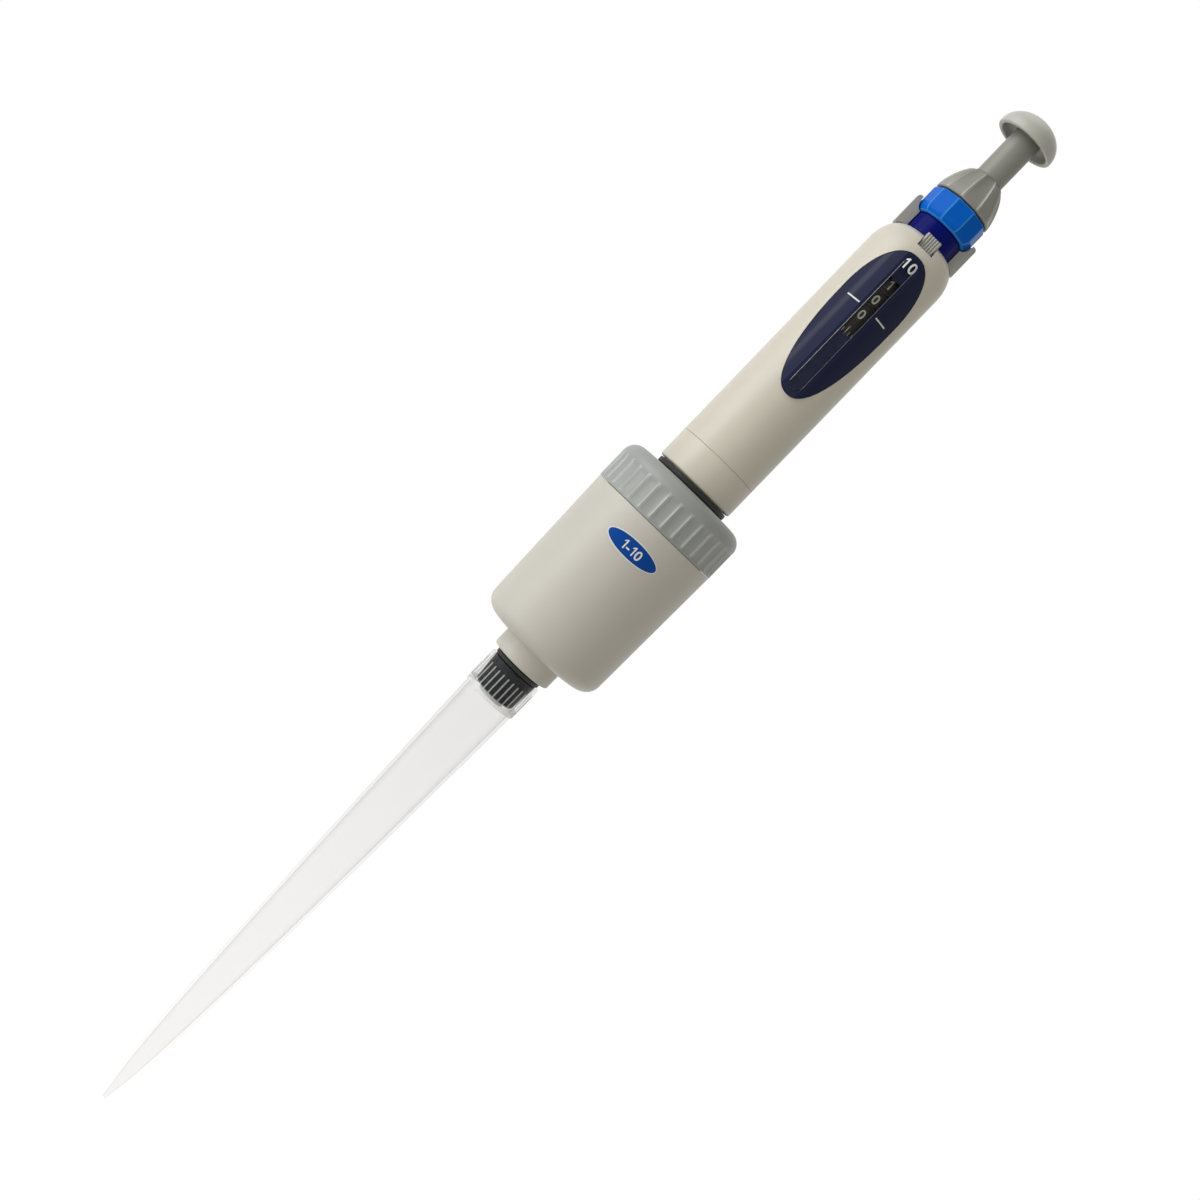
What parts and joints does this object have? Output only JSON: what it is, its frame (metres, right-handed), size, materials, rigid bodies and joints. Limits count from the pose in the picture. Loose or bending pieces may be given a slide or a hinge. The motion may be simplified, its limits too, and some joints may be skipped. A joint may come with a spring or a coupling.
{
  "type": "micropipette",
  "caption": "Hand-held piston pipette for large volumes: push button, volume knob, counter window, finger hook, wide piston barrel and a long clear tip.",
  "frame": {"origin": "middle of the flat underside of the finger hook, where the pipette hangs", "axes": "+Z along the pipette towards its button, the counter window faces -Y, the hook +Y"},
  "size_m": [0.0398, 0.0575, 0.358],
  "materials": {
    "clear": "clear moulded polypropylene",
    "ivory": "satin ivory moulding",
    "light_grey": "satin warm light grey moulding",
    "mid_grey": "satin mid grey moulding",
    "dark_grey": "satin dark grey moulding",
    "stem_grey": "satin warm grey moulding",
    "navy": "glossy navy moulding",
    "blue": "glossy blue moulding",
    "black_rubber": "black rubber",
    "white_plastic": "white engineering plastic",
    "digit_drum": "matt black counter wheel",
    "steel": "turned stainless steel",
    "spring_steel": "drawn spring steel",
    "brass": "turned brass"
  },
  "bodies": {
    "body": {"barrel": "light_grey", "barrel_cap": "mid_grey", "coupling_ring": "black_rubber", "tip_cone": "dark_grey", "nozzle_filter": "white_plastic", "nozzle_oring": "black_rubber", "rod_guide": "brass", "main_spring": "spring_steel", "blowout_spring": "spring_steel", "handle_base": "ivory", "handle_shell": "ivory", "window_frame": "navy", "window_lens": "clear", "counter_frame": "white_plastic", "pinion_axle": "steel", "core_sleeve": "navy", "spindle_bearing": "white_plastic", "latch_tab": "mid_grey", "finger_hook": "light_grey"},
    "plunger": {"push_button": "light_grey", "plunger_stem": "stem_grey", "piston_rod": "steel", "piston": "white_plastic", "piston_seal": "black_rubber", "piston_nut": "steel", "stop_collar": "white_plastic", "collar_clip": "spring_steel"},
    "knob": {"volume_knob": "stem_grey", "drive_spindle": "steel", "tenths_drum": "digit_drum"},
    "units_wheel": {"units_drum": "digit_drum"},
    "tens_wheel": {"tens_drum": "digit_drum"},
    "low_pinion": {"lower_pinion": "brass"},
    "high_pinion": {"upper_pinion": "brass"},
    "nut": {"stroke_nut": "white_plastic"},
    "ring": {"lock_ring": "blue"},
    "second_stop": {"blowout_seat": "steel"},
    "tip": {"disposable_tip": "clear"}
  },
  "joints": [
    {"name": "plunger_press", "type": "slide", "parent": "body", "child": "plunger", "axis": [0, 0, -1], "range_m": [0, 0.0125], "stiffness_N_per_m": 800, "springref_m": -0.01, "deforming": ["main_spring"]},
    {"name": "second_stop_slide", "type": "slide", "parent": "body", "child": "second_stop", "axis": [0, 0, -1], "range_m": [0, 0.0015], "deforming": ["blowout_spring"]},
    {"name": "knob_turn", "type": "hinge", "parent": "body", "child": "knob", "pos_m": [0, -0.023, 0], "axis": [0, 0, -1], "range_deg": [0, 3240]},
    {"name": "units_turn", "type": "hinge", "parent": "body", "child": "units_wheel", "pos_m": [0, -0.023, 0], "axis": [0, 0, -1], "range_deg": [0, 324]},
    {"name": "tens_turn", "type": "hinge", "parent": "body", "child": "tens_wheel", "pos_m": [0, -0.023, 0], "axis": [0, 0, -1], "range_deg": [0, 32.4]},
    {"name": "low_pinion_turn", "type": "hinge", "parent": "body", "child": "low_pinion", "pos_m": [0, -0.0144, 0], "axis": [0, 0, 1], "range_deg": [0, 810]},
    {"name": "high_pinion_turn", "type": "hinge", "parent": "body", "child": "high_pinion", "pos_m": [0, -0.0144, 0], "axis": [0, 0, 1], "range_deg": [0, 81]},
    {"name": "nut_slide", "type": "slide", "parent": "body", "child": "nut", "axis": [0, 0, -1], "range_m": [0, 0.00992]},
    {"name": "ring_turn", "type": "hinge", "parent": "body", "child": "ring", "pos_m": [0, -0.023, 0], "axis": [0, 0, -1], "range_deg": [0, 30]},
    {"name": "tip_pull", "type": "slide", "parent": "body", "child": "tip", "axis": [0, 0, -1], "range_m": [0, 0.011]}
  ],
  "couplings": [
    {"joint": "second_stop_slide", "follows": "plunger_press", "ratio": 0.12},
    {"joint": "units_turn", "follows": "knob_turn", "ratio": 0.1},
    {"joint": "tens_turn", "follows": "knob_turn", "ratio": 0.01},
    {"joint": "low_pinion_turn", "follows": "knob_turn", "ratio": 0.25},
    {"joint": "high_pinion_turn", "follows": "knob_turn", "ratio": 0.025},
    {"joint": "nut_slide", "follows": "knob_turn", "m_per_rad": 0.0001753}
  ]
}
